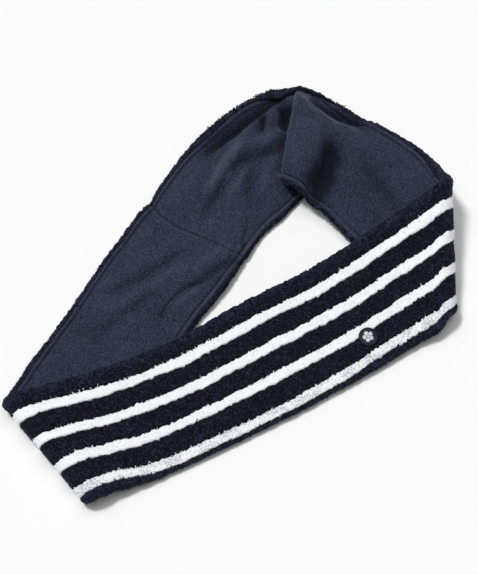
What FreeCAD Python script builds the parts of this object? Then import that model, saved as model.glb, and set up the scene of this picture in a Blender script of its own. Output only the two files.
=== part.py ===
"""Striped terry and fleece spa headband, lying as a closed loop on a table.

Millimetres, +Z up.  The table is z = 0 and the origin is the middle of the
loop's footprint.  The striped front run lies towards -Y.
"""
import FreeCAD
import Part
import math
import os

Vec = FreeCAD.Vector
os.makedirs("parts", exist_ok=True)
doc = FreeCAD.newDocument("spa_headband")

# ---------------------------------------------------------------- sizes ----
sheet = doc.addObject("Spreadsheet::Sheet", "Sizes")
SIZES = [
    ("band_width", 58),         # finished width, rim to rim
    ("layout_scale", 1),        # scale of the loop's path on the table
    ("half_thickness", 2.6),    # half of the finished cloth sandwich
    ("rest_lift", 0.37),        # sets the lowest point of the pile on z = 0
    ("shift_x", 3.25),          # sets the origin in the middle of the
    ("shift_y", 2.28),          # footprint
    ("rim_depth", 2.1),         # how far the pile cloth turns onto the lining
    ("rim_round", 1.3),         # rounding of the rim
    ("ground_top", 0.9),        # top of the knitted ground under the pile
    ("ground_under", -0.85),    # underside of the knitted ground
    ("stripe_width", 4.7),      # one white pile stripe
    ("stripe_pitch", 13.9),     # stripe to stripe
    ("first_stripe", 3.3),      # lower rim to the first white stripe
    ("stripe_gap", 0.12),       # clearance around each stripe
    ("lining_inset", 2.75),     # rim to the lining's cut edge
    ("lining_top", -1.25),      # lining surface that faces the ground cloth
    ("lining_under", -2.5),     # lining surface that shows
    ("thread_radius", 0.22),    # edge seam thread
    ("thread_inset", 2.42),     # rim to the edge seam
    ("thread_level", -2.25),    # depth of the edge seam thread
    ("seam_radius", 0.2),       # closing seam thread that shows on the lining
    ("inner_seam_radius", 0.13),  # closing seam thread between the two cloths
    ("seam_low_station", 22.25),   # where the closing seam starts, lower rim
    ("seam_high_station", 24.05),  # where it ends, upper rim
    ("seam_bow", 2),               # how much it bows along the band between
    ("motif_station", 4.17),    # place of the embroidery along the band
    ("motif_across", 14.9),     # and across it, from the lower rim
    ("patch_radius", 4.3),
    ("patch_height", 0.7),
    ("petal_radius", 1.05),
    ("petal_ring", 1.75),
    ("flower_height", 0.5),
]
for row, (alias, value) in enumerate(SIZES, start=1):
    sheet.set("A%d" % row, alias)
    sheet.set("B%d" % row, str(value))
    sheet.setAlias("B%d" % row, alias)
doc.recompute()


def size(alias):
    return float(sheet.get(alias))


WIDTH = size("band_width")
NOMINAL_WIDTH = 58.0
SCALE = size("layout_scale")

# --------------------------------------------------------- how it lies -----
# Stations round the loop.  Each is a line across the band, from its lower rim
# to its upper rim.  The two rises lift the handles of that line, so that the
# cloth bows up: the first works near the lower rim, the second near the upper.
LYING = 2.6
STATIONS = [
    # lower rim             upper rim              rise
    ((-58, -111.5, 8),      (-96.5, -63.5, 15),    0, 0),      # front run, left end
    ((-37, -102, 3),        (-68, -55, 16),        0, 0),
    ((-4, -85, LYING),      (-32, -39, 15),        0, 0),
    ((30, -66.3, LYING),    (4, -17, 16),          0, 0),      # middle of the front
    ((62, -47, LYING),      (37, 1, 18),           0, 0),
    ((84.3, -32.3, 3.5),    (68, 21, 24),          0, 0),
    ((95.2, -26.8, 7),      (90, 35, 30),          0, 0),
    ((98.8, -22, 9.5),      (96.5, 40, 32),        0, 0),      # right fold, over
    ((100.2, -18, 6.5),     (99.5, 45.5, 27),      0, 0),      # right fold
    ((97.6, -13.6, LYING),  (98, 52, 21),          0, 0),      # right fold, under
    ((88, -5, LYING),       (92.8, 66, 13),        0, 0),
    ((72, 9, LYING),        (80.6, 80.3, 8),       0, 2),      # right-hand back run
    ((55.8, 22.9, 4),       (67.4, 90.2, 6),       1, 8),
    ((44.9, 33.9, 7),       (55.3, 98.3, 5),       3, 17),
    ((34.6, 42.7, 12),      (46, 103, 4),          4, 28),
    ((26, 48, 15.5),        (38, 107, 4),          4, 34),     # pleat, top layer
    ((21, 53, 12.5),        (31, 109.5, 4),        4, 32),     # pleat, ridge
    ((28, 56, 9),           (29, 110.5, 4),        2, 22),     # pleat, mid layer
    ((47, 64, 6),           (27, 110.5, 4),        1, 15),     # pleat, valley
    ((34, 53, LYING),       (23, 110.5, 4),        0, 14),     # pleat, low layer
    ((22, 39.2, LYING),     (15, 109.5, 4),        0, 20),
    ((12.6, 29.6, LYING),   (4, 103.5, 4),         0, 18),
    ((4.8, 17.4, 3.5),      (-9, 94, 3.5),         1, 8),      # closing seam
    ((-3.4, 3.4, 4.5),      (-26, 75.5, LYING),    2, 2),
    ((-11, -8, 4),          (-43, 48.5, LYING),    1, 0),      # left-hand back run
    ((-23, -25, LYING),     (-62.7, 20, LYING),    0, 0),
    ((-40, -60, LYING),     (-85.2, -20.3, LYING), 0, 0),
    ((-58, -98, LYING),     (-104.6, -56, 3.5),    0, 0),
    ((-65, -111.8, LYING),  (-107, -61.8, 5),      0, 0),      # left fold, under
    ((-67.6, -115.1, 6),    (-108, -65.5, 9),      0, 0),      # left fold
    ((-64.6, -115.2, 9.5),  (-105, -65.5, 13.5),   0, 0),      # left fold, over
]
COUNT = len(STATIONS)
STEPS = 4                       # subdivisions between two stations
PATCHES = 16                    # faces that a loop is divided into


def across_lines():
    """Four closed rows of points: both rims and the two rows of handles."""
    rows = [[], [], [], []]
    lift = Vec(size("shift_x"), size("shift_y"), size("rest_lift"))
    for low, high, rise1, rise2 in STATIONS:
        low, high = Vec(*low) + lift, Vec(*high) + lift
        across = (high - low) * (WIDTH / NOMINAL_WIDTH)
        rows[0].append(low * SCALE)
        rows[1].append((low + across / 3 + Vec(0, 0, rise1)) * SCALE)
        rows[2].append((low + across * 2 / 3 + Vec(0, 0, rise2)) * SCALE)
        rows[3].append((low + across) * SCALE)
    return rows


def smooth_closed(points, spans, steps):
    """Closed curve through the points, eased by the spans between them."""
    out = []
    for i in range(COUNT):
        p0, p1 = points[i - 1], points[i]
        p2, p3 = points[(i + 1) % COUNT], points[(i + 2) % COUNT]
        d0, d1, d2 = spans[i - 1], spans[i], spans[(i + 1) % COUNT]
        m1 = ((p1 - p0) / d0 * d1 + (p2 - p1) / d1 * d0) / (d0 + d1)
        m2 = ((p2 - p1) / d1 * d2 + (p3 - p2) / d2 * d1) / (d1 + d2)
        for k in range(steps):
            s = k / steps
            out.append(p1 * (2 * s**3 - 3 * s**2 + 1)
                       + m1 * (d1 * (s**3 - 2 * s**2 + s))
                       + p2 * (3 * s**2 - 2 * s**3)
                       + m2 * (d1 * (s**3 - s**2)))
    return out


ROWS = across_lines()
SPANS = []
for i in range(COUNT):
    j = (i + 1) % COUNT
    reach = (ROWS[0][j] - ROWS[0][i]).Length + (ROWS[3][j] - ROWS[3][i]).Length
    SPANS.append(math.sqrt(reach / 2))
CURVES = [smooth_closed(row, SPANS, STEPS) for row in ROWS]
TOTAL = COUNT * STEPS


def on_band(k, a):
    """Middle of the cloth at subdivision k, a mm from the lower rim."""
    v = a / WIDTH
    w = ((1 - v)**3, 3 * v * (1 - v)**2, 3 * v**2 * (1 - v), v**3)
    k = k % TOTAL
    lo = int(math.floor(k))
    f = k - lo
    hi = (lo + 1) % TOTAL
    out = Vec(0, 0, 0)
    for curve, part in zip(CURVES, w):
        out += (curve[lo] * (1 - f) + curve[hi] * f) * part
    return out


def normal(k, a):
    """Direction that the pile side faces."""
    a = min(max(a, 1.5), WIDTH - 1.5)
    along = on_band(k + 1, a) - on_band(k - 1, a)
    across = on_band(k, a + 1.5) - on_band(k, a - 1.5)
    n = along.cross(across)
    return n.normalize()


def place(k, a, b):
    """A point b mm outside the middle of the cloth."""
    return on_band(k, a) + normal(k, a) * b


# -------------------------------------------------------------- solids -----
def strip_faces(run):
    """Faces swept round the loop by one smooth run of the section."""
    poles = [[place(k, a, b) for a, b in run] for k in range(TOTAL)]
    degree = min(3, len(run) - 1)
    inner = len(run) - degree
    surface = Part.BSplineSurface()
    surface.buildFromPolesMultsKnots(
        poles,
        [1] * (TOTAL + 1), [degree + 1] + [1] * (inner - 1) + [degree + 1],
        [float(x) for x in range(TOTAL + 1)],
        [x / inner for x in range(inner + 1)],
        True, False, 3, degree)
    surface.setUNotPeriodic()
    cuts = [round(TOTAL * i / PATCHES) for i in range(PATCHES + 1)]
    faces = []
    for start, end in zip(cuts, cuts[1:]):
        piece = surface.copy()
        piece.segment(float(start), float(end), 0.0, 1.0)
        faces.append(piece.toShape())
    return faces


def loop_solid(runs):
    """A closed loop of cloth or thread with this section all the way round.

    runs is a closed ring of smooth runs.  Each is a list of (across, outward)
    control points, and starts where the one before it ends.
    """
    faces = []
    for i, run in enumerate(runs):
        faces += strip_faces(run + [runs[(i + 1) % len(runs)][0]])
    skin = Part.Compound(faces)
    skin.sewShape(0.001)
    solid = Part.makeSolid(skin.Shells[0])
    if solid.Volume < 0:
        solid.reverse()
    return solid


def level_run(start, end, level):
    """Control points from start towards end across the band, end left out."""
    count = max(2, int(math.ceil(abs(end - start) / 3.4)))
    return [(start + (end - start) * i / count, level) for i in range(count)]


def corners(points):
    """Flat facets between the points: one short run for each of them."""
    return [[point] for point in points]


def band_runs(low, high, under, top):
    """Flat section with bevelled edges between two lines of the cloth."""
    r = min(0.4, (top - under) / 3)
    return (
        [level_run(low + r, high - r, top)]
        + corners([(high - r, top), (high, top - r), (high, under + r)])
        + [level_run(high - r, low + r, under)]
        + corners([(low + r, under), (low, under + r), (low, top - r)]))


HALF = size("half_thickness")
STRIPES = []
for i in range(4):
    start = size("first_stripe") + i * size("stripe_pitch")
    STRIPES.append((start, start + size("stripe_width")))


def rim_points():
    """Section points round the lower rim, from the lining to the outside."""
    d, r, half = size("rim_depth"), size("rim_round"), HALF
    pts = [(d, size("ground_under")), (d, -half + 0.25), (d - 0.3, -half)]
    for i in range(7):
        t = math.pi * i / 6
        pts.append((r * (1 - math.sin(t)), -half * math.cos(t)))
    return pts


def panel_runs():
    """Navy pile cloth: both rims, and a trough for each white stripe."""
    floor = size("ground_top")
    runs = corners(rim_points()[:-1])
    edge = size("rim_round")
    for low, high in STRIPES:
        runs += [level_run(edge, low, HALF), [(low, HALF)],
                 level_run(low, high, floor), [(high, floor)]]
        edge = high
    far = [(WIDTH - a, b) for a, b in reversed(rim_points())]
    runs.append(level_run(edge, far[0][0], HALF))
    runs += corners(far[:-1])
    runs.append(level_run(far[-1][0], size("rim_depth"),
                          size("ground_under")))
    return runs


def thread_runs(a, b, radius):
    """Eight-sided section."""
    turns = [2 * math.pi * i / 8 for i in range(8)]
    return corners([(a + radius * math.cos(t), b + radius * math.sin(t))
                    for t in turns])


def feature(name, shape, **bound):
    """A named sub-part, with the sheet sizes it depends on bound to it."""
    obj = doc.addObject("Part::Feature", name)
    obj.Label = name
    obj.Shape = shape
    obj.Placement = FreeCAD.Placement()
    for prop, alias in bound.items():
        obj.addProperty("App::PropertyFloat", prop, "Sizes")
        obj.setExpression(prop, "Sizes.%s" % alias)
    return obj


NODES = []
NODES.append(feature(
    "outer_pile_panel", loop_solid(panel_runs()),
    Width="band_width", HalfThickness="half_thickness", RimDepth="rim_depth"))

GAP = size("stripe_gap")
for i, (low, high) in enumerate(STRIPES, start=1):
    section = band_runs(low + GAP, high - GAP, size("ground_top") + GAP,
                        HALF - GAP)
    NODES.append(feature(
        "white_pile_stripe_%d" % i, loop_solid(section),
        StripeWidth="stripe_width", Pitch="stripe_pitch"))

inset = size("lining_inset")
NODES.append(feature(
    "fleece_lining",
    loop_solid(band_runs(inset, WIDTH - inset, size("lining_under"),
                         size("lining_top"))),
    Inset="lining_inset", Under="lining_under"))

for name, a in (("lower_edge_seam", size("thread_inset")),
                ("upper_edge_seam", WIDTH - size("thread_inset"))):
    NODES.append(feature(
        name, loop_solid(thread_runs(a, size("thread_level"),
                                     size("thread_radius"))),
        ThreadRadius="thread_radius"))


def seam_tube(level, radius, margin):
    """Thread of the closing seam, across one face of the band."""
    start, end = size("seam_low_station"), size("seam_high_station")
    bow = size("seam_bow")
    pts, count = [], 10
    for i in range(count + 1):
        a = margin + (WIDTH - 2 * margin) * i / count
        v = a / WIDTH
        k = (start + (end - start) * v + bow * v * (1 - v)) * STEPS
        pts.append(place(k, a, level))
    rings = []
    for i, point in enumerate(pts):
        heading = pts[min(i + 1, count)] - pts[max(i - 1, 0)]
        heading.normalize()
        side = heading.cross(Vec(0, 0, 1)).normalize()
        rise = side.cross(heading)
        ring = [point + side * (radius * math.cos(math.pi * t / 4))
                + rise * (radius * math.sin(math.pi * t / 4))
                for t in range(8)]
        rings.append(Part.makePolygon(ring + ring[:1]))
    return Part.makeLoft(rings, True, True)


NODES.append(feature(
    "lining_closing_seam",
    seam_tube(size("lining_under") - size("seam_radius") - 0.03,
              size("seam_radius"), inset + 1.2),
    ThreadRadius="seam_radius"))
NODES.append(feature(
    "outer_closing_seam",
    seam_tube((size("ground_under") + size("lining_top")) / 2,
              size("inner_seam_radius"), inset + 1.2),
    ThreadRadius="inner_seam_radius"))

# ---------------------------------------------------------- embroidery -----
station = size("motif_station") * STEPS
spot = place(station, size("motif_across"), HALF + 0.12)
facing = normal(station, size("motif_across"))
along = on_band(station + 1, size("motif_across")) - spot
turn = FreeCAD.Rotation(along, Vec(0, 0, 0), facing, "ZXY")


def disc(name, radius, height, offset):
    """A flat round piece that sits on the cloth under the motif."""
    obj = doc.addObject("Part::Cylinder", name)
    obj.Label = name
    obj.setExpression("Radius", "Sizes.%s" % radius)
    obj.setExpression("Height", "Sizes.%s" % height)
    obj.Placement = FreeCAD.Placement(spot + turn.multVec(offset), turn)
    return obj


patch = disc("embroidered_patch", "patch_radius", "patch_height",
             Vec(0, 0, 0))
NODES.append(patch)
top = size("patch_height") + 0.03
petals = [disc("petal_heart", "petal_radius", "flower_height",
               Vec(0, 0, top))]
for i in range(5):
    t = 2 * math.pi * i / 5
    reach = size("petal_ring")
    petals.append(disc("petal_%d" % (i + 1), "petal_radius",
                       "flower_height",
                       Vec(reach * math.cos(t), reach * math.sin(t), top)))
flower = doc.addObject("Part::MultiFuse", "embroidered_flower")
flower.Label = "embroidered_flower"
flower.Shapes = petals
NODES.append(flower)

doc.recompute()

# --------------------------------------------------------------- check -----
for obj in doc.Objects:
    if any(word in obj.State for word in ("Invalid", "Error")):
        raise RuntimeError("%s did not build" % obj.Label)
lowest = 1e9
for obj in NODES:
    shape = obj.Shape
    if shape.isNull() or not shape.isValid() or shape.Volume <= 0:
        raise RuntimeError("%s has no valid shape" % obj.Label)
    shape.exportStep("parts/%s.step" % obj.Label)
    box = shape.BoundBox
    lowest = min(lowest, box.ZMin)
    print("%-22s volume %9.1f  x %6.1f %6.1f  y %6.1f %6.1f  z %5.2f %5.2f" % (
        obj.Label, shape.Volume, box.XMin, box.XMax, box.YMin, box.YMax,
        box.ZMin, box.ZMax))
print("nodes", len(NODES), "lowest", round(lowest, 3))
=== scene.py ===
"""Visual model of the striped spa headband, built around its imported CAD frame.

Lengths are worked out in millimetres on the band itself: s runs along the loop,
a runs across it from the lower rim, and b stands out of the cloth on the pile
side.  u is a station number along the loop, and t the distance round the
section of the pile side, from rim to rim.  Meshes are made in metres.
"""
import math

import bpy
import numpy as np
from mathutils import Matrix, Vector


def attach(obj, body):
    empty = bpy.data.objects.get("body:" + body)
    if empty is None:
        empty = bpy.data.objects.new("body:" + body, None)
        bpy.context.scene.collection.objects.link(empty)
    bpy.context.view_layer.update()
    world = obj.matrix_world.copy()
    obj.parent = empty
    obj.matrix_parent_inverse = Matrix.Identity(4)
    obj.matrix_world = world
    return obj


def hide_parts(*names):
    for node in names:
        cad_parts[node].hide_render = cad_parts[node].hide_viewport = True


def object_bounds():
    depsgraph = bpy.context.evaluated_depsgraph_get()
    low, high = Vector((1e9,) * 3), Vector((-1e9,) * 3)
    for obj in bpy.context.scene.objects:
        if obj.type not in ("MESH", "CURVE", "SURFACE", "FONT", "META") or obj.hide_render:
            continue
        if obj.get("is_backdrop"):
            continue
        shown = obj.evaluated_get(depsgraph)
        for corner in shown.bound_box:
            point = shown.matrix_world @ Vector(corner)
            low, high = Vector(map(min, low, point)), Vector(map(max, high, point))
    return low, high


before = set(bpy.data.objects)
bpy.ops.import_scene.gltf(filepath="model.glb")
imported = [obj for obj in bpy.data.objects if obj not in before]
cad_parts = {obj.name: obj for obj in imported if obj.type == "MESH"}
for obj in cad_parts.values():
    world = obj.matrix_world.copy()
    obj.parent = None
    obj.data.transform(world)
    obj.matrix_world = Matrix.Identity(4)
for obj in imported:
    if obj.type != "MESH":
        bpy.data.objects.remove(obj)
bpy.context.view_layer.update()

# ------------------------------------------------------------ the band -----
WIDTH = 58.0                    # finished width, rim to rim
HALF = 2.6                      # half of the finished sandwich of cloth
SHIFT = np.array([3.25, 2.28, 0.37])    # brings the footprint's middle to 0, 0
LYING = 2.6                     # height of the cloth's middle on the table
# Lines across the band, lower rim to upper rim, and how far their two inner
# handles rise.  They are the stations of the CAD model.
STATIONS = [
    ((-58, -111.5, 8), (-96.5, -63.5, 15), 0, 0),         # front run, left end
    ((-37, -102, 3), (-68, -55, 16), 0, 0),
    ((-4, -85, LYING), (-32, -39, 15), 0, 0),
    ((30, -66.3, LYING), (4, -17, 16), 0, 0),             # middle of the front
    ((62, -47, LYING), (37, 1, 18), 0, 0),
    ((84.3, -32.3, 3.5), (68, 21, 24), 0, 0),
    ((95.2, -26.8, 7), (90, 35, 30), 0, 0),
    ((98.8, -22, 9.5), (96.5, 40, 32), 0, 0),             # right fold, over
    ((100.2, -18, 6.5), (99.5, 45.5, 27), 0, 0),          # right fold
    ((97.6, -13.6, LYING), (98, 52, 21), 0, 0),           # right fold, under
    ((88, -5, LYING), (92.8, 66, 13), 0, 0),
    ((72, 9, LYING), (80.6, 80.3, 8), 0, 2),              # right-hand back run
    ((55.8, 22.9, 4), (67.4, 90.2, 6), 1, 8),
    ((44.9, 33.9, 7), (55.3, 98.3, 5), 3, 17),
    ((34.6, 42.7, 12), (46, 103, 4), 4, 28),
    ((26, 48, 15.5), (38, 107, 4), 4, 34),                # pleat, top layer
    ((21, 53, 12.5), (31, 109.5, 4), 4, 32),              # pleat, ridge
    ((28, 56, 9), (29, 110.5, 4), 2, 22),                 # pleat, mid layer
    ((47, 64, 6), (27, 110.5, 4), 1, 15),                 # pleat, valley
    ((34, 53, LYING), (23, 110.5, 4), 0, 14),             # pleat, low layer
    ((22, 39.2, LYING), (15, 109.5, 4), 0, 20),
    ((12.6, 29.6, LYING), (4, 103.5, 4), 0, 18),
    ((4.8, 17.4, 3.5), (-9, 94, 3.5), 1, 8),              # beside the closing seam
    ((-3.4, 3.4, 4.5), (-26, 75.5, LYING), 2, 2),
    ((-11, -8, 4), (-43, 48.5, LYING), 1, 0),             # left-hand back run
    ((-23, -25, LYING), (-62.7, 20, LYING), 0, 0),
    ((-40, -60, LYING), (-85.2, -20.3, LYING), 0, 0),
    ((-58, -98, LYING), (-104.6, -56, 3.5), 0, 0),
    ((-65, -111.8, LYING), (-107, -61.8, 5), 0, 0),       # left fold, under
    ((-67.6, -115.1, 6), (-108, -65.5, 9), 0, 0),         # left fold
    ((-64.6, -115.2, 9.5), (-105, -65.5, 13.5), 0, 0),    # left fold, over
]
COUNT = len(STATIONS)
# Stations that the closing seam joins, and how much it bows between them.
SEAM_LOW, SEAM_HIGH, SEAM_BOW = 22.25, 24.05, 2.0
FIRST_STRIPE, STRIPE_WIDTH, STRIPE_PITCH = 3.3, 4.7, 13.9
# Both borders of the four white stripes, measured across the band.
STRIPES = [(FIRST_STRIPE + STRIPE_PITCH * i,
            FIRST_STRIPE + STRIPE_WIDTH + STRIPE_PITCH * i) for i in range(4)]


def handle_rows():
    """Four handles for each line across the band, COUNT x 4 x 3."""
    out = np.zeros((COUNT, 4, 3))
    for i, (low, high, rise1, rise2) in enumerate(STATIONS):
        low, high = np.array(low, float) + SHIFT, np.array(high, float) + SHIFT
        across = high - low
        out[i] = (low, low + across / 3 + (0, 0, rise1),
                  low + across * 2 / 3 + (0, 0, rise2), high)
    return out


ROWS = handle_rows()
NEXT_ROWS = np.roll(ROWS, -1, 0)
# Square root of the distance to the next station, which keeps the curves even.
SPANS = np.sqrt((np.linalg.norm(NEXT_ROWS[:, 0] - ROWS[:, 0], axis=1)
                 + np.linalg.norm(NEXT_ROWS[:, 3] - ROWS[:, 3], axis=1)) / 2)


def handles_at(u):
    """Handles of the line across the band at station u, len(u) x 4 x 3.

    Each handle follows a smooth closed curve through its stations.
    """
    u = np.asarray(u, float) % COUNT
    i = np.floor(u).astype(int) % COUNT
    s = (u - np.floor(u))[:, None, None]
    p0, p1 = ROWS[i - 1], ROWS[i]
    p2, p3 = ROWS[(i + 1) % COUNT], ROWS[(i + 2) % COUNT]
    d0, d1, d2 = (SPANS[j % COUNT][:, None, None] for j in (i - 1, i, i + 1))
    m1 = ((p1 - p0) / d0 * d1 + (p2 - p1) / d1 * d0) / (d0 + d1)
    m2 = ((p2 - p1) / d1 * d2 + (p3 - p2) / d2 * d1) / (d1 + d2)
    return (p1 * (2 * s**3 - 3 * s**2 + 1) + m1 * d1 * (s**3 - 2 * s**2 + s)
            + p2 * (3 * s**2 - 2 * s**3) + m2 * d1 * (s**3 - s**2))


def middle(u, a):
    """Middle of the cloth.  u and a are flat arrays of the same length."""
    h = handles_at(u)
    v = (np.asarray(a, float) / WIDTH)[:, None]
    return (h[:, 0] * (1 - v)**3 + h[:, 1] * 3 * v * (1 - v)**2
            + h[:, 2] * 3 * v**2 * (1 - v) + h[:, 3] * v**3)


def unit(x):
    """Vectors shortened or stretched to a length of 1."""
    return x / np.maximum(np.linalg.norm(x, axis=-1, keepdims=True), 1e-9)


# Reach of the differences that directions are worked out from: across the
# band in mm, along it in stations, and round the section in mm.
PROBE_A, PROBE_U, PROBE_T = 1.5, 0.25, 0.3


def directions(u, a):
    """Unit vectors along the loop, across it, and out of the pile side."""
    a = np.clip(a, PROBE_A, WIDTH - PROBE_A)
    along = middle(u + PROBE_U, a) - middle(u - PROBE_U, a)
    across = middle(u, a + PROBE_A) - middle(u, a - PROBE_A)
    return unit(along), unit(across), unit(np.cross(along, across))


def loop_distance(fine_u):
    """Distance s at each of many stations, as the mean of three lines."""
    lines = (2.0, 29.0, 56.0)
    steps = np.zeros(len(fine_u) - 1)
    for a in lines:
        points = middle(fine_u, np.full(len(fine_u), a))
        steps += np.linalg.norm(np.diff(points, axis=0), axis=1) / len(lines)
    return np.concatenate([[0], np.cumsum(steps)])


FINE_U = np.linspace(0, COUNT, COUNT * 40 + 1)
FINE_S = loop_distance(FINE_U)
LENGTH = FINE_S[-1]


def station(s):
    """Station number at a distance along the loop."""
    return np.interp(np.asarray(s) % LENGTH, FINE_S, FINE_U)


def s_at(u):
    """Distance along the loop at a station."""
    return np.interp(u, FINE_U, FINE_S)


def bell(x, width):
    """1 at x = 0, fading smoothly to 0 past the width."""
    return np.exp(-(x / width)**2)


def step(x, low, high):
    """0 below low, 1 above high, and smooth in between."""
    x = np.clip((x - low) / (high - low), 0, 1)
    return x * x * (3 - 2 * x)


def seam_station(a):
    """Station of the closing seam, which slants and bows across the band."""
    v = a / WIDTH
    return SEAM_LOW + (SEAM_HIGH - SEAM_LOW) * v + SEAM_BOW * v * (1 - v)


def closing_seam(s, a):
    """Distance along the loop from the closing seam."""
    return s - s_at(seam_station(a))


def furrow(s, a, path, width, depth):
    """A furrow along a path of (station, across) points, fading at its ends."""
    pts = [(float(s_at(u)), v) for u, v in path]
    runs = [math.hypot(q[0] - p[0], q[1] - p[1]) for p, q in zip(pts, pts[1:])]
    best, share, done = np.full(s.shape, np.inf), np.zeros(s.shape), 0.0
    for p, q, run in zip(pts, pts[1:], runs):
        t = ((s - p[0]) * (q[0] - p[0]) + (a - p[1]) * (q[1] - p[1])) / run**2
        t = np.clip(t, 0, 1)
        d = np.hypot(s - p[0] - t * (q[0] - p[0]), a - p[1] - t * (q[1] - p[1]))
        nearer = d < best
        share = np.where(nearer, (done + t * run) / sum(runs), share)
        best = np.where(nearer, d, best)
        done += run
    fade = np.sqrt(np.clip(4 * share * (1 - share), 0, 1)) * 0.75 + 0.25
    return depth * fade * bell(best, width)


# Folds of the whole cloth, as it sags between the places that hold it up:
# path, width and depth towards the pile side.
FOLDS = [
    ([(12.4, 54), (13.6, 49), (14.5, 47.5), (15.3, 48.5)], 4.2, 5.2),
    ([(19.3, 53), (20.2, 50.5), (20.9, 48.5), (21.7, 48.5), (22.6, 50)],
     3.4, 4.6),
    ([(19.35, 47), (19.4, 40), (19.55, 33)], 5.2, 7.0),   # beside the crease
    ([(20.45, 46), (20.6, 38)], 3.2, 4.6),        # and a smaller hollow
    ([(19.3, 31.5), (20.3, 33), (21.0, 35.5), (21.9, 38.5), (22.6, 37)],
     2.6, -1.4),                                  # ridge below the hollows
    ([(19.2, 26.5), (19.9, 27.5), (20.8, 29.5), (21.6, 33)], 3.0, 1.9),
    ([(13.2, 30), (13.5, 24), (13.55, 17), (13.85, 8), (13.9, 0)], 4.6, 7.5),
    ([(14.8, 32), (14.7, 18), (14.8, 8)], 6.0, -2.6),
]


def drape(s, a):
    """How far the middle of the cloth is moved towards the pile side."""
    out = np.zeros(s.shape)
    for path, width, depth in FOLDS:
        out += furrow(s, a, path, width, depth)
    return out


def resting(s):
    """1 on the back runs, where the pile is pressed flat under the band."""
    u = station(s)
    return step(u, 9.6, 11.5) * (1 - step(u, 26.6, 28.0))


def top_turn(s):
    """1 where the outer rim stands up and turns over at the back."""
    u = station(s)
    return step(u, 12.0, 14.0) * (1 - step(u, 22.2, 23.6))


def crest(s):
    """1 at the pleat's top, where the pile's edge rolls furthest over."""
    u = station(s)
    return step(u, 13.6, 15.0) * (1 - step(u, 19.4, 21.0))


PILE_FOOT = -1.0                # level that pressed pile thins towards
SETTLED = 1.4                   # how far the back runs sink towards the table
# Heights where a fold starts to flatten on the table, and that it stays above.
EASE_FROM, EASE_TO = 3.0, 0.3


def place(u, a, b):
    """Points b mm outside the middle of the cloth, as it lies and folds."""
    u, a, b = (np.asarray(x, float) for x in (u, a, b))
    s = s_at(u)
    flat = resting(s)
    low_rim, high_rim = 1 - step(a, 1, 8), 1 - step(WIDTH - a, 1, 8)
    thin = flat * (0.45 + 0.3 * low_rim + 0.3 * high_rim * (1 - top_turn(s)))
    pressed = np.where(b > PILE_FOOT,
                       PILE_FOOT + (b - PILE_FOOT) * (1 - thin), b)
    sag = drape(s, a)
    level = pressed + SETTLED * flat + sag
    pinch = 1.3 * bell(closing_seam(s, a), 3.5) * step(a, 46, WIDTH)
    # Past the closing seam the outer rim is set in a little.
    pinch += 1.7 * step(u, 24.1, 24.9) * (1 - step(u, 25.7, 26.7)) \
        * step(a, 44, WIDTH)
    points = middle(u, a - pinch) + directions(u, a)[2] * level[:, None]
    # A fold that would reach the table flattens on it, layer upon layer.
    z = points[:, 2]
    depth = EASE_FROM - EASE_TO
    eased = np.where(z < EASE_FROM, EASE_TO
                     + depth * np.exp(np.minimum(z - EASE_FROM, 0) / depth), z)
    points[:, 2] = z + (eased - z) * np.clip(sag, 0, 1)
    return points


# ------------------------------------------------------- surface noise -----
def soft_noise(seed, s, t, short, long, count=14):
    """Smooth unevenness, about -1 to 1, that closes on itself round the loop."""
    rng = np.random.RandomState(seed)
    out = np.zeros(np.broadcast(s, t).shape)
    for _ in range(count):
        wave = 1 / rng.uniform(1 / long, 1 / short)
        angle = rng.uniform(0, 2 * math.pi)
        turns = round(LENGTH * math.cos(angle) / wave)
        out += np.cos(2 * math.pi * (turns * s / LENGTH
                                     + t * math.sin(angle) / wave)
                      + rng.uniform(0, 2 * math.pi))
    return out / math.sqrt(count / 2) / 1.6


def lumps(seed, s, t, cell):
    """Rounded tufts packed at random: height 0 to 1, and a value per tuft."""
    rng = np.random.RandomState(seed)
    room, spare = 120, 4            # mm round the section, and cells before it
    ns, nt = int(round(LENGTH / cell)), int(room / cell) + 2 * spare
    table = rng.random_sample((ns, nt, 4))
    cell_s = LENGTH / ns
    gi = np.floor(s / cell_s).astype(int)
    gj = np.floor(t / cell).astype(int) + spare
    best, tint = np.full(s.shape, np.inf), np.zeros(s.shape)
    for di in (-1, 0, 1):
        for dj in (-1, 0, 1):
            r = table[(gi + di) % ns, np.clip(gj + dj, 0, nt - 1)]
            x = (gi + di + 0.5 + 0.85 * (r[..., 0] - 0.5)) * cell_s
            y = (gj + dj - spare + 0.5 + 0.85 * (r[..., 1] - 0.5)) * cell
            d = np.hypot(s - x, t - y) / cell / (0.8 + 0.4 * r[..., 2])
            nearer = d < best
            best = np.where(nearer, d, best)
            tint = np.where(nearer, r[..., 3], tint)
    return np.clip(1 - 1.7 * best**2, 0, 1), tint


ROLLED = (2.3, 0.9, 0.6, 0.4)   # how far the rolled rim takes each stripe
JAGGED = (0.15, 0.30)           # unevenness of a stripe's lower, upper border


def stripe_edges(s):
    """Both borders of the four white stripes, which wander a little.

    The front's lower rim is rolled under, and takes the stripes with it.
    """
    u = station(s)
    roll = step(u, 0.2, 1.6) * (1 - step(u, 3.0, 4.4))
    out = []
    for i, (low, high) in enumerate(STRIPES):
        pair = []
        for j, edge in enumerate((low - ROLLED[i] * roll,
                                  high - ROLLED[i] * roll)):
            seed = 40 + 2 * i + j
            pair.append(edge + 0.30 * soft_noise(seed, s, 0 * s, 14, 60)
                        + 0.24 * soft_noise(seed + 20, s, 0 * s, 2.5, 8)
                        + JAGGED[j]
                        * soft_noise(seed + 300, s, 0 * s, 1.3, 2.6, 24))
        out.append(pair)
    return out


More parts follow.
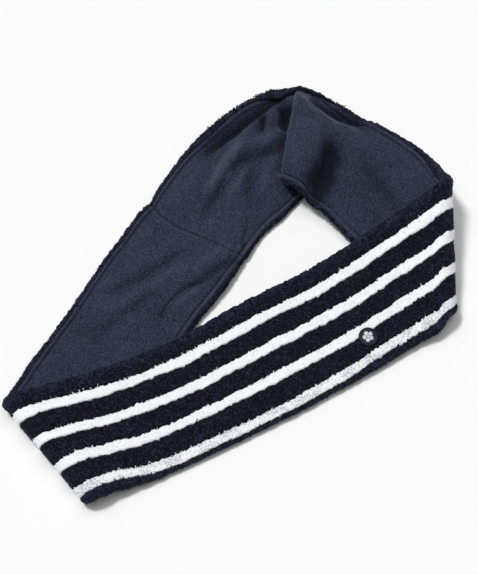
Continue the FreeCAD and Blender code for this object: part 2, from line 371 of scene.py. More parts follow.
def in_stripes(s, a, blur):
    """1 inside the white stripes, 0 outside."""
    out = np.zeros(a.shape)
    for low, high in stripe_edges(s):
        out = np.maximum(out, step(a, low - blur, low + blur)
                         * (1 - step(a, high - blur, high + blur)))
    return out


# -------------------------------------------------------------- meshes -----
MM = 0.001
TABLE_GAP = 0.06                # pressed pile stays this far off the table


def mesh_object(name, points, quads, mat, tris=None, **values):
    """An object from points in mm, quads and triangles, with point values."""
    mesh = bpy.data.meshes.new(name)
    quads = np.asarray(quads, np.int32).reshape(-1, 4)
    tris = np.zeros((0, 3), np.int32) if tris is None else np.asarray(tris)
    loops = np.concatenate([quads.ravel(), tris.ravel()]).astype(np.int32)
    sizes = np.concatenate([np.full(len(quads), 4), np.full(len(tris), 3)])
    starts = np.concatenate([[0], np.cumsum(sizes)[:-1]]).astype(np.int32)
    mesh.vertices.add(len(points))
    mesh.vertices.foreach_set("co", (points * MM).astype(np.float32).ravel())
    mesh.loops.add(len(loops))
    mesh.loops.foreach_set("vertex_index", loops)
    mesh.polygons.add(len(sizes))
    mesh.polygons.foreach_set("loop_start", starts)
    mesh.update(calc_edges=True)
    mesh.validate()
    mesh.polygons.foreach_set("use_smooth", np.full(len(sizes), True))
    for key, value in values.items():
        layer = mesh.attributes.new(key, "FLOAT", "POINT")
        layer.data.foreach_set("value", np.asarray(value, np.float32).ravel())
    mesh.materials.append(mat)
    obj = bpy.data.objects.new(name, mesh)
    bpy.context.scene.collection.objects.link(obj)
    return obj


def ring_quads(rows, columns):
    """Quads of a grid that closes in both directions."""
    i, j = np.meshgrid(np.arange(rows), np.arange(columns), indexing="ij")
    i2, j2 = (i + 1) % rows, (j + 1) % columns
    return np.stack([i * columns + j, i2 * columns + j, i2 * columns + j2,
                     i * columns + j2], -1).reshape(-1, 4)


def ring_points(centre, radius, e1, e2, sides):
    """Rings round the centres, in the planes of e1 and e2: one array a side."""
    turns = [2 * math.pi * k / sides for k in range(sides)]
    return [centre + radius * (e1 * math.cos(turn) + e2 * math.sin(turn))
            for turn in turns]


def tube_quads(base, rings, sides):
    """Quads between the rings of many short tubes whose first points are base."""
    return np.concatenate(
        [base + np.array([[r * sides + k, r * sides + (k + 1) % sides,
                           (r + 1) * sides + (k + 1) % sides,
                           (r + 1) * sides + k]])
         for r in range(rings - 1) for k in range(sides)])


def on_table(points):
    """Pile that would go through the table is pressed flat on it."""
    points[:, 2] = np.maximum(points[:, 2], TABLE_GAP)
    return points


# Section of the pile side: round one rim, over the face, round the other.
RIM = 2.3                       # how far a rim reaches past its middle
ARC = np.linspace(0, math.pi, 25)
SECTION_A = np.concatenate([RIM * (1 - np.sin(ARC)), [WIDTH - RIM],
                            WIDTH - RIM * (1 - np.sin(ARC[::-1]))])
SECTION_B = np.concatenate([-HALF * np.cos(ARC), [HALF],
                            -HALF * np.cos(ARC[::-1])])
SECTION_T = np.concatenate([[0], np.cumsum(np.hypot(np.diff(SECTION_A),
                                                    np.diff(SECTION_B)))])
SECTION = SECTION_T[-1]
FLAT_T = SECTION_T[len(ARC) - 1]    # t where the face starts at the lower rim


def section(t):
    """Place (a, b) and outward direction on the section, t mm round it."""
    (a, b), (a0, b0), (a1, b1) = (
        (np.interp(at, SECTION_T, SECTION_A), np.interp(at, SECTION_T, SECTION_B))
        for at in (t, t - PROBE_T, t + PROBE_T))
    da, db = a1 - a0, b1 - b0
    size = np.maximum(np.hypot(da, db), 1e-9)
    return a, b, -db / size, da / size


def across_of_t(t):
    """Distance from the lower rim, measured over the rounded rim."""
    return t - FLAT_T + RIM


def t_of_across(c):
    """The opposite: t at a distance from the lower rim."""
    return c + FLAT_T - RIM


# ----------------------------------------------------------- materials -----
def material(name, rough, sheen, sheen_rough, sheen_tint, specular):
    """A new material with its nodes, links and shader."""
    mat = bpy.data.materials.new(name)
    mat.use_nodes = True
    nodes, links = mat.node_tree.nodes, mat.node_tree.links
    shader = nodes["Principled BSDF"]
    shader.inputs["Roughness"].default_value = rough
    shader.inputs["Sheen Weight"].default_value = sheen
    shader.inputs["Sheen Roughness"].default_value = sheen_rough
    shader.inputs["Sheen Tint"].default_value = (*sheen_tint, 1)
    shader.inputs["Specular IOR Level"].default_value = specular
    return mat, nodes, links, shader


def noise_node(nodes, links, coords, scale, rough=0.6):
    """Noise on the object's own coordinates: 1 / scale is its size in metres."""
    node = nodes.new("ShaderNodeTexNoise")
    node.inputs["Scale"].default_value = scale
    node.inputs["Detail"].default_value = 2.0
    node.inputs["Roughness"].default_value = rough
    links.new(coords, node.inputs["Vector"])
    return node.outputs["Fac"]


def ramp_node(nodes, links, fac, stops):
    """Colours at places between 0 and 1, blended in between."""
    node = nodes.new("ShaderNodeValToRGB")
    ramp = node.color_ramp
    for k, (at, colour) in enumerate(stops):
        if k < 2:
            ramp.elements[k].position = at
        else:
            ramp.elements.new(at)
        ramp.elements[k].color = (*colour, 1)
    links.new(fac, node.inputs["Fac"])
    return node.outputs["Color"]


def math_node(nodes, links, kind, x, y):
    """x and y joined by one operation; each is a number or a socket."""
    node = nodes.new("ShaderNodeMath")
    node.operation = kind
    for socket, value in zip(node.inputs, (x, y)):
        if isinstance(value, float):
            socket.default_value = value
        else:
            links.new(value, socket)
    return node.outputs["Value"]


def bump_node(nodes, links, height, strength, distance, shader):
    """Fine relief on the shader, its depth in metres."""
    node = nodes.new("ShaderNodeBump")
    node.inputs["Strength"].default_value = strength
    node.inputs["Distance"].default_value = distance
    links.new(height, node.inputs["Height"])
    links.new(node.outputs["Normal"], shader.inputs["Normal"])


def pile_material(name, dark, mid, light, rough, sheen, tint):
    """Looped pile: painted shade between the tufts, a painted highlight on their tips."""
    mat, nodes, links, shader = material(name, rough, sheen, 0.45, tint, 0.15)
    coords = nodes.new("ShaderNodeTexCoord").outputs["Object"]
    height = nodes.new("ShaderNodeAttribute")
    height.attribute_name = "height"
    tint_value = nodes.new("ShaderNodeAttribute")
    tint_value.attribute_name = "tint"
    fine = noise_node(nodes, links, coords, 1250)
    # The height attribute paints shade low in the pile and a highlight on its tips; the
    # fine noise and the tint vary at random.
    fac = math_node(nodes, links, "MULTIPLY", height.outputs["Fac"], 0.3)
    more = math_node(nodes, links, "MULTIPLY", tint_value.outputs["Fac"], 0.1)
    fac = math_node(nodes, links, "ADD", fac, more)
    grain = math_node(nodes, links, "MULTIPLY", fine, 1.3)
    fac = math_node(nodes, links, "ADD", fac, grain)
    fac = math_node(nodes, links, "SUBTRACT", fac, 0.45)
    colour = ramp_node(nodes, links, fac, [(0.16, dark), (0.42, mid),
                                           (0.74, light)])
    links.new(colour, shader.inputs["Base Color"])
    bump_node(nodes, links, fine, 0.7, 0.0005, shader)
    return mat


NAVY = pile_material(
    "navy_terry", dark=(0.0006, 0.0006, 0.0012), mid=(0.0040, 0.0038, 0.0098),
    light=(0.034, 0.034, 0.078), rough=0.9, sheen=0.03, tint=(0.4, 0.42, 0.85))
WHITE = pile_material(
    "white_terry", dark=(0.76, 0.77, 0.82), mid=(0.93, 0.935, 0.96),
    light=(0.98, 0.98, 1.0), rough=0.9, sheen=0.2, tint=(1, 1, 1))
# The lowest stripe is turned down to the table and has the coarsest pile; its darker
# colours are painted shade, where it turns away from the light.
WHITE_SHADED = pile_material(
    "white_terry_shaded", dark=(0.46, 0.47, 0.53), mid=(0.86, 0.865, 0.90),
    light=(0.98, 0.98, 1.0), rough=0.9, sheen=0.2, tint=(1, 1, 1))


def fleece_material():
    """Short-napped fleece: mottled slate navy with a fine grain."""
    mat, nodes, links, shader = material("slate_fleece", 0.95, 0.22, 0.5,
                                         (0.55, 0.62, 0.9), 0.12)
    coords = nodes.new("ShaderNodeTexCoord").outputs["Object"]
    nap = noise_node(nodes, links, coords, 1900)
    mottle = noise_node(nodes, links, coords, 800)
    cloud = noise_node(nodes, links, coords, 40, 0.5)
    hollow = nodes.new("ShaderNodeAttribute")
    hollow.attribute_name = "hollow"
    fac = math_node(nodes, links, "MULTIPLY", nap, 0.72)
    fac = math_node(nodes, links, "ADD", fac,
                    math_node(nodes, links, "MULTIPLY", mottle, 0.2))
    fac = math_node(nodes, links, "ADD", fac,
                    math_node(nodes, links, "MULTIPLY", cloud, 0.10))
    # Painted shade: the fleece is made darker in its folds and lighter on its ridges.
    fac = math_node(nodes, links, "SUBTRACT", fac, math_node(
        nodes, links, "MULTIPLY", hollow.outputs["Fac"], 0.2))
    colour = ramp_node(nodes, links, fac, [(0.34, (0.002, 0.0024, 0.0055)),
                                           (0.51, (0.024, 0.029, 0.053)),
                                           (0.68, (0.068, 0.077, 0.124))])
    links.new(colour, shader.inputs["Base Color"])
    grain = math_node(nodes, links, "ADD", nap, mottle)
    bump_node(nodes, links, grain, 0.45, 0.0004, shader)
    return mat


def thread_material(name, colour, shade):
    """Twisted sewing thread."""
    mat, nodes, links, shader = material(name, 0.6, 0.1, 0.4, (1, 1, 1), 0.3)
    coords = nodes.new("ShaderNodeTexCoord").outputs["Object"]
    twist = noise_node(nodes, links, coords, 2600)
    mix = ramp_node(nodes, links, twist, [(0.35, shade), (0.65, colour)])
    links.new(mix, shader.inputs["Base Color"])
    bump_node(nodes, links, twist, 0.35, 0.0001, shader)
    return mat


FLEECE = fleece_material()
NAVY_THREAD = thread_material("navy_thread", colour=(0.022, 0.025, 0.05),
                              shade=(0.008, 0.009, 0.02))
WHITE_THREAD = thread_material("white_thread", colour=(0.82, 0.82, 0.84),
                               shade=(0.5, 0.5, 0.54))
PATCH_THREAD = thread_material("patch_thread", colour=(0.012, 0.013, 0.035),
                               shade=(0.004, 0.004, 0.012))

# -------------------------------------------------------- terry ground -----
PANEL_CELL = 0.68               # the panel's grid along the loop, in mm,
FINE_STEP, TROUGH_STEP = 0.66, 1.1      # and round its section
TROUGH_DEPTH = 1.35             # of the panel, under a white stripe
PANEL_BACK, LINING_BACK = -0.95, -1.2   # levels of the cloths' hidden backs


def closed_grid(s, a, b, back_a, back_b):
    """Points of a cloth's face (a, b) and of its back, for each s in turn."""
    aa, bb = np.concatenate([a, back_a], 1), np.concatenate([b, back_b], 1)
    uu = np.tile(station(s)[:, None], (1, aa.shape[1]))
    return place(uu.ravel(), aa.ravel(), bb.ravel())


def rim_fullness(s, t):
    """How far the pile swells where the outer rim turns over at the back."""
    return (1.1 * top_turn(s) + 0.1 * crest(s)) \
        * step(t, SECTION - 8.5, SECTION - 5)


def pile_swell(s, t):
    """Slow unevenness that the navy and the white pile share."""
    return 0.22 * soft_noise(4, s, t, 9, 30)


def seam_dip(s, a):
    """How far the pile sinks at the closing seam."""
    return 0.7 * bell(closing_seam(s, a), 0.9)


def panel_columns():
    """Places round the section: close together, but wider in the troughs."""
    t = [0.0]
    while t[-1] < SECTION - 0.4:
        c = across_of_t(t[-1])
        deep = any(low + 1.1 < c < high - 1.4 for low, high in STRIPES)
        t.append(t[-1] + (TROUGH_STEP if deep else FINE_STEP))
    t[-1] = SECTION
    return np.array(t)


def navy_panel():
    """Navy terry from rim to rim, with a trough under each white stripe."""
    cells = int(LENGTH / PANEL_CELL)
    s = np.arange(cells) * LENGTH / cells
    ss, tt = np.meshgrid(s, panel_columns(), indexing="ij")
    a, b, na, nb = section(tt)
    big, tint = lumps(1, ss, tt, 2.5)
    small, tint2 = lumps(2, ss, tt, 1.35)
    rough = np.random.RandomState(3).random_sample(ss.shape)
    rim = 1 - step(np.minimum(tt, SECTION - tt), 7, 11)
    height = (0.18 + 0.42 * rim) * big + 0.42 * small + 0.22 * rough
    trough = in_stripes(ss, across_of_t(tt), 0.35)
    out = (height * (0.85 + 0.4 * rim) - 0.3 + pile_swell(ss, tt)) \
        * (1 - 0.6 * trough) - seam_dip(ss, a) - TROUGH_DEPTH * trough
    out += rim_fullness(ss, tt)
    a, b = a + na * out, b + nb * out
    # On the back runs the pile's edge rolls in over the lining at the outer
    # rim, and sinks behind the lining at the rim beside the hole.
    a -= (1.7 * top_turn(ss) + 1.8 * crest(ss)) \
        * step(tt, SECTION - 4.5, SECTION)
    b -= 1.3 * crest(ss) * bell(tt - SECTION + 2.0, 1.7)
    b += 1.1 * resting(ss) * (1 - step(tt, 1.0, 4.5))
    back_a = np.tile(np.linspace(WIDTH - 2.5, 2.5, 23), (cells, 1))
    points = closed_grid(s, a, b, back_a, np.full(back_a.shape, PANEL_BACK))
    zero = np.zeros(back_a.shape)
    columns = a.shape[1] + back_a.shape[1]
    # The pile's height is passed on for its painted shade and painted highlight.
    return mesh_object(
        "navy_terry_panel", on_table(points),
        ring_quads(cells, columns)[:, ::-1], NAVY,
        height=np.concatenate([height, zero], 1),
        tint=np.concatenate([0.5 * tint + 0.5 * tint2, zero], 1))


def tuft_mesh(s, t, seed, lift, lean, length, thick):
    """Curled tufts standing on the section, each a bent three-sided cone.

    They start lift mm outside the section, and lean is how far they bend over
    towards the upper rim, as a share of their length; thick is their radius.
    Returns points, quads, tris, and the height and tint of each point.
    """
    rng = np.random.RandomState(seed)
    n = len(s)
    a, b, na, nb = section(t)
    u = station(s)
    along, across, out = directions(u, a)
    outward = unit(across * na[:, None] + out * nb[:, None])
    sideways = unit(across * nb[:, None] - out * na[:, None])
    root = place(u, a + na * lift, b + nb * lift)
    long = (length * rng.uniform(0.7, 1.25, n))[:, None]
    way = (along * rng.normal(0, 0.6, n)[:, None]
           + sideways * (lean + rng.normal(0, 0.55, n))[:, None])
    knee = root + outward * long * 0.72 + way * long * 0.1
    tip = root + outward * long * rng.uniform(0.35, 0.75, n)[:, None] \
        + way * long * 0.95
    e1 = unit(np.cross(outward + 0.4 * way, rng.normal(0, 1, (n, 3))))
    e2 = unit(np.cross(outward + 0.4 * way, e1))
    sides, rings = 3, []
    for v, r in ((0.0, 0.85), (0.4, 1.0), (0.8, 0.85)):
        centre = root * (1 - v)**2 + knee * 2 * v * (1 - v) + tip * v * v
        rings += ring_points(centre, thick * r, e1, e2, sides)
    points = np.stack(rings + [tip], 1)
    size, last = points.shape[1], 2 * sides
    base = (np.arange(n) * size)[:, None]
    tris = np.concatenate(
        [base + np.array([[last + k, last + (k + 1) % sides, size - 1]])
         for k in range(sides)])
    quads = tube_quads(base, 3, sides)
    # Heights up each tuft, which the pile material turns into painted shade at the root
    # and a painted highlight at the tip.
    height = np.tile(np.repeat([0.1, 0.5, 0.85, 1.0], [sides] * 3 + [1]), (n, 1))
    tint = np.repeat(rng.random_sample(n)[:, None], size, 1)
    return points.reshape(-1, 3), quads, tris, height, tint


def scatter(seed, low, high, pitch):
    """Jittered grid of places (s, t) on the section between two values of t."""
    rng = np.random.RandomState(seed)
    ns, nt = int(LENGTH / pitch), max(1, int((high - low) / pitch))
    i, j = np.meshgrid(np.arange(ns), np.arange(nt), indexing="ij")
    s = (i + rng.random_sample(i.shape)) * LENGTH / ns
    t = low + (j + rng.random_sample(i.shape)) * (high - low) / nt
    return s.ravel(), t.ravel()


def navy_tufts(name, seed, low, high, pitch, length, thick):
    """Tufts between two values of t, left out where the pile is white."""
    s, t = scatter(seed, low, high, pitch)
    keep = in_stripes(s, across_of_t(t), 0.15) < 0.5
    keep &= (resting(s) < 0.5) | (t > 2.2)
    s, t = s[keep], t[keep]
    points, quads, tris, height, tint = tuft_mesh(
        s, t, seed + 1, -0.4 + rim_fullness(s, t), 0.15, length, thick)
    return mesh_object(name, on_table(points), quads, NAVY, tris,
                       height=height, tint=tint)


STRIPE_CELL = 0.62              # a stripe's grid along the loop
OVER = 0.6                      # a strip's hidden overlap past its borders
FRINGE = (0.8, 0.35, 0.35, 0.6)     # how far each stripe's tufts lean out


def stripe_strip(i):
    """Closed strip under a stripe's tufts.  Returns points, quads, values."""
    cells = int(LENGTH / STRIPE_CELL)
    s = np.arange(cells) * LENGTH / cells
    low, high = stripe_edges(s)[i]
    share = np.linspace(0, 1, 13)
    c = (low - OVER)[:, None] + (high - low + 2 * OVER)[:, None] * share
    ss, tt = np.tile(s[:, None], (1, len(share))), t_of_across(c)
    a, b, na, nb = section(tt)
    big, tint = lumps(60 + i, ss, tt, 2.3)
    small, tint2 = lumps(70 + i, ss, tt, 1.15)
    rough = np.random.RandomState(80 + i).random_sample(ss.shape)
    height = 0.14 * big + 0.44 * small + 0.3 * rough
    inside = np.minimum(c - low[:, None], high[:, None] - c)
    crown = step(inside, -0.55, 0.25)
    out = -1.55 + 1.55 * crown - seam_dip(ss, a) \
        + (height * 0.7 - 0.12 + pile_swell(ss, tt)) * (0.4 + 0.6 * crown)
    out[:, 0] = out[:, -1] = -1.7
    a, b = a + na * out, b + nb * out
    # The back lies just below the strip's sides, with fewer columns.
    back = slice(-2, 0, -3)
    back_a, back_b, back_na, back_nb = section(tt[:, back])
    back_a, back_b = back_a - 1.78 * back_na, back_b - 1.78 * back_nb
    points = closed_grid(s, a, b, back_a, back_b)
    # Slow random patches added to the lowest stripe's colour height only, which make its
    # painted shade uneven.
    if i == 0:
        blotches = np.clip(0.45 * soft_noise(130, ss, tt, 5, 22), -0.3, 0.3)
        height = height + blotches
    zero = np.zeros(back_a.shape)
    columns = a.shape[1] + back_a.shape[1]
    # The height goes with the points for the pile's painted shade and painted highlight.
    return (points, ring_quads(cells, columns)[:, ::-1],
            np.concatenate([height, zero], 1).ravel(),
            np.concatenate([0.5 * tint + 0.5 * tint2, zero], 1).ravel())


def stripe_tufts(i):
    """A stripe's tufts, which lean out over its upper border in places."""
    s, c = scatter(90 + i, STRIPES[i][0] - 3, STRIPES[i][1] + 1, 0.92)
    low, high = stripe_edges(s)[i]
    keep = (c > low - 0.1) & (c < high + 0.2)
    s, c, low, high = s[keep], c[keep], low[keep], high[keep]
    near_top = step(c, low, high)
    left_end = (1 - step(station(s), 1.6, 3.4)) * near_top
    patches = np.clip(0.5 + 0.9 * soft_noise(120 + i, s, 0 * s, 8, 30), 0, 1)
    fringe = np.clip(left_end + 0.35 * patches * near_top, 0, 1) * FRINGE[i]
    return tuft_mesh(s, t_of_across(c), 100 + i, -0.5, 0.2 + 0.5 * fringe,
                     0.8 + 0.35 * fringe, 0.24)


def white_stripe(i):
    """One white pile stripe: a level strip and its tufts, jagged at the edge."""
    strip, strip_quads, strip_height, strip_tint = stripe_strip(i)
    loops, quads, tris, height, tint = stripe_tufts(i)
    n = len(strip)
    return mesh_object(
        "white_terry_stripe_%d" % (i + 1), on_table(np.concatenate([strip, loops])),
        np.concatenate([strip_quads, quads + n]), WHITE if i else WHITE_SHADED,
        tris + n, height=np.concatenate([strip_height, height.ravel()]),
        tint=np.concatenate([strip_tint, tint.ravel()]))


panel = navy_panel()
rim_tuft = dict(pitch=0.95, length=1.5, thick=0.34)
band_tuft = dict(pitch=1.05, length=0.95, thick=0.27)
tufts = [
    navy_tufts("lower_rim_tufts", 14, 0.2, FLAT_T + 1.2, **rim_tuft),
    navy_tufts("upper_rim_tufts", 16, SECTION - FLAT_T - 1.2, SECTION - 0.2,
               **rim_tuft)]
# The navy bands lie between one stripe's upper border and the next one's
# lower border; the last band ends at the upper rim.
band_lows = [high for _, high in STRIPES]
band_highs = [low for low, _ in STRIPES[1:]] + [WIDTH - 3.5]
for i, (low, high) in enumerate(zip(band_lows, band_highs), start=1):
    tufts.append(navy_tufts("navy_band_tufts_%d" % i, 20 + 2 * i,
                            t_of_across(low - 1.6), t_of_across(high + 0.6),
                            **band_tuft))
stripes = [white_stripe(i) for i in range(4)]


# -------------------------------------------------------------- lining -----
# Wrinkles of the lining alone: path, width, and depth below its level.
WRINKLES = [
    ([(24.1, 11), (24.35, 13.2), (24.9, 16), (25.2, 16.2)], 1.2, 1.5),
    ([(19.15, 44), (19.2, 30), (19.3, 14)], 3.2, 1.3),
    ([(21.0, 36), (21.9, 34), (22.7, 31), (23.2, 30)], 2.4, 1.0),
    ([(21.4, 40), (22.2, 38), (22.9, 36)], 2.4, -0.8),
    ([(20.8, 30), (21.6, 27), (22.3, 26)], 2.6, -0.6),
    ([(24.1, 8), (24.5, 10.8), (25.0, 13.2)], 1.5, -0.6),
    ([(24.0, 27), (24.9, 34.5), (25.4, 45)], 2.4, 0.7),
    ([(24.2, 22), (24.9, 28), (25.5, 38)], 2.6, -0.45),
    ([(22.5, 2), (23.4, 8), (24.2, 11)], 1.8, 0.9),
    ([(22.7, 9), (23.3, 13), (24.0, 17)], 1.8, -0.5),
    ([(22.4, 3), (22.1, 7), (21.7, 12)], 1.5, 0.6),
    ([(25.0, 27), (25.4, 32), (25.9, 40)], 3.0, 0.6),
    ([(21.7, 20), (21.3, 26), (21.0, 30)], 3.5, 0.7),
    ([(20.9, 16), (20.5, 22), (20.2, 26)], 3.0, -0.5),
    ([(10.4, 20), (11.3, 30), (12.2, 34)], 4.5, 0.5),
]

LINING_EDGE = 2.45              # the fleece's border, measured from a rim
BORDER = 6.6                    # finer columns up to here, measured likewise
FINE_COLUMN, LINING_CELL = 0.35, 0.85   # its grid there, and along the loop


def lining_edge(s):
    """Where the fleece starts: nearly at the rim beside the hole."""
    return LINING_EDGE - 1.5 * resting(s)


def lining_end(s):
    """Where it ends: closer to the outer rim on both sides of the pleat."""
    return WIDTH - LINING_EDGE + 0.9 * resting(s) * (1 - top_turn(s))


def seam_draw(a):
    """How tightly the closing seam is drawn in: most beside the hole."""
    return 1 - 0.2 * step(a, 14, 34)


def lining_relief(s, a):
    """How far the fleece stands out of its even level."""
    edge = np.minimum(a - lining_edge(s), lining_end(s) - a)
    rise = 0.7 * bell(edge - 1.15, 0.85) - 0.7 * bell(edge - 2.6, 0.42)
    rise -= 0.9 * (1 - step(edge, 0.0, 0.5))
    inner = step(edge, 2.5, 8)
    rise += inner * (0.38 * soft_noise(21, s, a, 16, 60)
                     + 0.14 * soft_noise(22, s, a, 6, 14))
    rise += 0.10 * soft_noise(23, s, a, 2.2, 5, 24)
    for path, width, depth in WRINKLES:
        rise -= inner**0.3 * furrow(s, a, path, width, depth)
    d = closing_seam(s, a)
    drawn = seam_draw(a)
    rise += drawn * (0.4 * bell(np.abs(d) - 1.3, 0.7) - 0.95 * bell(d, 0.5))
    pucker = bell(d, 9) * (1 - step(a, 8, 22))
    rise += 0.7 * pucker * np.cos(2 * math.pi * (a + 0.12 * d) / 4.3)
    return rise


def painted_fleece_shade(s, a):
    """Painted shade on the fleece, from how deep it lies in a fold: up to 1, and below 0
    (a painted highlight) on ridges.
    """
    deep = np.clip(drape(s, a) / 4.0, -0.25, 1)
    # Painted shade on the pleat's crest, which darkens it where it faces the light.
    deep += 0.22 * bell(station(s) - 15.7, 1.4)
    edge = np.minimum(a - lining_edge(s), lining_end(s) - a)
    # Painted shade in the groove beside each edge seam, and a painted highlight on the
    # piping by the rim.
    deep += 0.5 * bell(edge - 2.6, 0.45) - 0.25 * bell(edge - 1.15, 0.8)
    # Painted shade in the lining's wrinkles, and a painted highlight on its small ridges.
    for path, width, depth in WRINKLES:
        deep += 0.55 * furrow(s, a, path, width, depth)
    # Painted shade along the closing seam's groove, weaker where the seam is drawn in
    # less, and a painted highlight on its flanks.
    d = closing_seam(s, a)
    deep += (1.6 * seam_draw(a) - 1.0) * bell(d, 0.55) \
        - 0.25 * bell(np.abs(d) - 1.3, 0.5)
    return np.clip(deep, -0.5, 1)


def lining():
    """Fleece lining, which shows on the inside of the loop."""
    cells = int(LENGTH / LINING_CELL)
    s = np.arange(cells) * LENGTH / cells
    a = np.concatenate([np.arange(LINING_EDGE, BORDER, FINE_COLUMN),
                        np.linspace(BORDER + 0.2, WIDTH - BORDER - 0.2, 56),
                        np.arange(WIDTH - BORDER, WIDTH - LINING_EDGE + 0.01,
                                  FINE_COLUMN)])
    ss, aa = np.meshgrid(s, a, indexing="ij")
    aa = aa - (LINING_EDGE - lining_edge(ss)) * (1 - step(aa, 6, 16)) \
        + (lining_end(ss) - WIDTH + LINING_EDGE) \
        * step(aa, WIDTH - 16, WIDTH - 6)
    b = -HALF + 0.05 - lining_relief(ss, aa)
    # The back has enough columns to stay behind the face in deep folds.
    back_a = np.tile(np.linspace(WIDTH - 3, 3, 40), (cells, 1))
    points = closed_grid(s, aa, b, back_a, np.full(back_a.shape, LINING_BACK))
    columns = aa.shape[1] + back_a.shape[1]
    return mesh_object(
        "fleece_lining_cloth", on_table(points), ring_quads(cells, columns),
        FLEECE, hollow=np.concatenate([painted_fleece_shade(ss, aa), 0 * back_a], 1))


fleece = lining()


# ------------------------------------------------------------ stitches -----
def stitches(name, starts, ends, radius, thread):
    """Short rounded stitches between pairs of points."""
    sides = 6
    ahead = unit(ends - starts)
    e1 = unit(np.cross(ahead, np.array([0.31, 0.17, 0.93])))
    e2 = np.cross(ahead, e1)
    rings = []
    for v, r in ((0.0, 0.45), (0.15, 0.9), (0.5, 1.08), (0.85, 0.9), (1, 0.45)):
        rings += ring_points(starts * (1 - v) + ends * v, radius * r, e1, e2,
                             sides)
    points = np.stack(rings + [starts, ends], 1)
    size = points.shape[1]
    base = (np.arange(len(starts)) * size)[:, None]
    last = 4 * sides
    tris = np.concatenate(
        [base + np.array([[(k + 1) % sides, k, size - 2]])
         for k in range(sides)]
        + [base + np.array([[last + k, last + (k + 1) % sides, size - 1]])
           for k in range(sides)])
    return mesh_object(name, points.reshape(-1, 3), tube_quads(base, 5, sides),
                       thread, tris)


def edge_stitches(name, a):
    """A row of stitches on the fleece, along the whole loop."""
    pitch, length, level = 3.0, 2.5, -2.3
    n = int(LENGTH / pitch)
    s = np.arange(n) * LENGTH / n
    aa, b = np.full(n, a), np.full(n, level)
    ends = place(station(s + length), aa, b)
    return stitches(name, place(station(s), aa, b), ends, 0.2, NAVY_THREAD)


def cross_stitches(name, b, radius):
    """A row of stitches along the closing seam, b mm outside the middle."""
    pitch, length, clear = 2.4, 2.0, 4.2    # clear of both rims
    a = np.arange(clear, WIDTH - clear - length, pitch)
    level = np.full(len(a), b)
    return stitches(name, place(seam_station(a), a, level),
                    place(seam_station(a + length), a + length, level),
                    radius, NAVY_THREAD)


EDGE_SEAM = 2.42                # each edge seam's distance from its rim
lower_seam = edge_stitches("lower_edge_stitches", EDGE_SEAM)
upper_seam = edge_stitches("upper_edge_stitches", WIDTH - EDGE_SEAM)
lining_seam = cross_stitches("lining_seam_stitches", -2.2, 0.2)
outer_seam = cross_stitches("outer_seam_stitches", -1.05, 0.13)

# ---------------------------------------------------------- embroidery -----
SPOT_U, SPOT_A = np.array([4.17]), np.array([14.9])     # the patch's middle
PATCH_RADIUS = 4.3
PATCH_X, _, PATCH_Z = (v[0] for v in directions(SPOT_U, SPOT_A))
PATCH_Y = np.cross(PATCH_Z, PATCH_X)
SPOT = place(SPOT_U, SPOT_A, np.array([HALF + 0.35]))[0]


def on_patch(x, y, z):
    """Points from places on the patch: along the band, across it, and out."""
    return (SPOT + np.outer(x, PATCH_X) + np.outer(y, PATCH_Y)
            + np.outer(z, PATCH_Z))


def patch_ground():
    """Domed twill disc.  Returns points, quads and the middle's triangles."""
    turns, rings = 72, 9
    radii = np.linspace(0.35, PATCH_RADIUS - 0.35, rings)
    angles = np.arange(turns) * 2 * math.pi / turns
    rr, aa = np.meshgrid(radii, angles, indexing="ij")
    x, y = rr * np.cos(aa), rr * np.sin(aa)
    twill = 0.035 * np.cos((x + y) * 2 * math.pi / 0.55)
    z = 0.55 - 0.18 * (rr / PATCH_RADIUS)**2 + twill
    points = np.stack([x.ravel(), y.ravel(), z.ravel()], 1)
    centre = len(points)
    tris = [[centre, k, (k + 1) % turns] for k in range(turns)]
    return (np.concatenate([points, [[0, 0, 0.56]]]),
            ring_quads(rings, turns)[:(rings - 1) * turns, ::-1], tris)


def patch_border():
    """Wrapped border: a ring whose thickness changes from wrap to wrap."""
    wraps, sides = 96, 8
    points = []
    for i in range(wraps):
        turn = 2 * math.pi * i / wraps
        fat = 0.42 * (1 + 0.14 * (-1)**i)
        for k in range(sides):
            side = 2 * math.pi * k / sides
            reach = PATCH_RADIUS - 0.25 + fat * math.cos(side)
            points.append([reach * math.cos(turn), reach * math.sin(turn),
                           0.42 + fat * math.sin(side)])
    return np.array(points), ring_quads(wraps, sides)[:, ::-1]


def patch():
    """Round embroidered patch."""
    ground, quads, tris = patch_ground()
    border, border_quads = patch_border()
    x, y, z = np.concatenate([ground, border]).T
    return mesh_object("round_patch", on_patch(x, y, z),
                       np.concatenate([quads, border_quads + len(ground)]),
                       PATCH_THREAD, np.array(tris))


def flower():
    """Five satin-stitched petals round a raised knot."""
    petals, petal_rows, knot_rows = 5, 11, 7
    petal_half, knot_half, knot_level = 0.92, 0.75, 1.05
    starts, ends = [], []
    for i in range(petals):
        turn = 2 * math.pi * i / petals + 0.3
        c, s = math.cos(turn), math.sin(turn)
        for k in range(petal_rows):
            v = (k - 5) / 5.5
            half = 0.95 * math.sqrt(1 - v * v)
            x0, x1 = 0.75 + (1 - half) * 0.45, 2.0 + half * 0.75
            y = v * petal_half
            z = 0.82 - 0.12 * v * v
            starts.append((x0 * c - y * s, x0 * s + y * c, z))
            ends.append((x1 * c - y * s, x1 * s + y * c, z - 0.06))
    for k in range(knot_rows):
        v = (k - 3) / 3.6
        half = knot_half * math.sqrt(1 - v * v)
        starts.append((-half, v * knot_half, knot_level))
        ends.append((half, v * knot_half, knot_level))
    starts, ends = np.array(starts), np.array(ends)
    return stitches("flower_stitches", on_patch(*starts.T), on_patch(*ends.T),
                    0.13, WHITE_THREAD)


badge, bloom = patch(), flower()

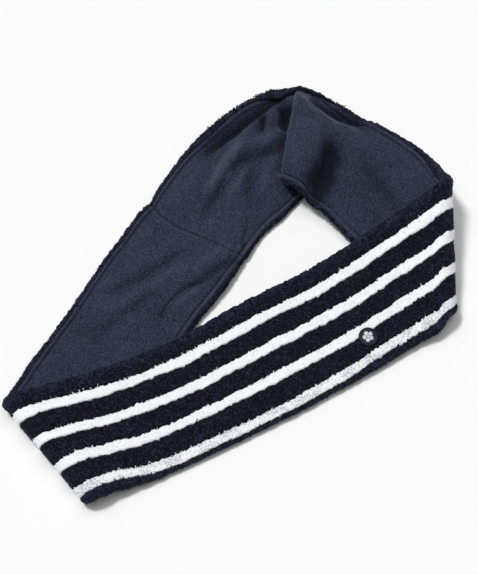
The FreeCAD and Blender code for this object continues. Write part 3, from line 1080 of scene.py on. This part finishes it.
# ------------------------------------------------ frame, floor, lights -----
pieces = [
    (panel, "navy_pile", ["outer_pile_panel"]),
    (fleece, "slate_fleece", ["fleece_lining"]),
    (lower_seam, "navy_thread", ["lower_edge_seam"]),
    (upper_seam, "navy_thread", ["upper_edge_seam"]),
    (lining_seam, "navy_thread", ["lining_closing_seam"]),
    (outer_seam, "navy_thread", ["outer_closing_seam"]),
    (badge, "patch_thread", ["embroidered_patch"]),
    (bloom, "white_thread", ["embroidered_flower"]),
]
pieces += [(stripe, "white_pile", ["white_pile_stripe_%d" % i])
           for i, stripe in enumerate(stripes, start=1)]
pieces += [(rows, "navy_pile", []) for rows in tufts]
for obj, slot_name, nodes in pieces:
    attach(obj, "root")
    if nodes:
        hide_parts(*nodes)


def table_top(reach=3.0):
    """Plain pale table, a square that reaches this many metres each way."""
    mesh = bpy.data.meshes.new("table_top")
    mesh.from_pydata([(-reach, -reach, 0), (reach, -reach, 0),
                      (reach, reach, 0), (-reach, reach, 0)], [],
                     [(0, 1, 2, 3)])
    mat, _, _, shader = material("pale_table", 0.7, 0.0, 0.5, (1, 1, 1), 0.1)
    shader.inputs["Base Color"].default_value = (0.93, 0.93, 0.93, 1)
    mesh.materials.append(mat)
    obj = bpy.data.objects.new("table_top", mesh)
    bpy.context.scene.collection.objects.link(obj)
    return obj


def studio():
    """White studio: pale walls low down, a dim room, a soft box overhead."""
    world = bpy.data.worlds.new("studio")
    world.use_nodes = True
    nodes, links = world.node_tree.nodes, world.node_tree.links
    way = nodes.new("ShaderNodeSeparateXYZ")
    links.new(nodes.new("ShaderNodeTexCoord").outputs["Generated"],
              way.inputs["Vector"])
    walls, room, box = (0.95,) * 3, (0.12,) * 3, (1.0,) * 3
    sky = ramp_node(nodes, links, way.outputs["Z"],
                    [(0.06, walls), (0.24, room), (0.76, room), (0.90, box)])
    bright = nodes.new("ShaderNodeMapRange")
    for socket, value in (("From Min", 0.82), ("From Max", 0.92),
                          ("To Min", 1.0), ("To Max", 1.40)):
        bright.inputs[socket].default_value = value
    links.new(way.outputs["Z"], bright.inputs["Value"])
    links.new(sky, nodes["Background"].inputs["Color"])
    links.new(bright.outputs["Result"], nodes["Background"].inputs["Strength"])
    return world


floor = table_top()
floor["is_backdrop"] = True

scene = bpy.context.scene
scene.view_settings.view_transform = "Standard"
scene.world = studio()

SUNLIGHT = Vector((0.46, -0.06, -1.42))     # the way the light travels
sun = bpy.data.lights.new("key", "SUN")
sun.energy, sun.angle = 1.80, math.radians(10.5)
key = bpy.data.objects.new("key", sun)
key.rotation_euler = SUNLIGHT.to_track_quat("-Z", "Y").to_euler()
scene.collection.objects.link(key)

# The photo's view: from the front, looking down steeply.
LOOK_AT = Vector(SHIFT * MM)
ELEVATION, DISTANCE = math.radians(60), 1.1
camera_data = bpy.data.cameras.new("camera")
camera_data.sensor_width = 36
camera_data.lens = 143.7        # fills the picture as the photo does
camera_data.clip_start, camera_data.clip_end = 0.05, 20
camera = bpy.data.objects.new("camera", camera_data)
to_camera = Vector((0, -math.cos(ELEVATION), math.sin(ELEVATION)))
camera.location = LOOK_AT + to_camera * DISTANCE
camera.rotation_euler = (-to_camera).to_track_quat("-Z", "Y").to_euler()
scene.collection.objects.link(camera)
scene.camera = camera

bpy.context.view_layer.update()
low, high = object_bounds()
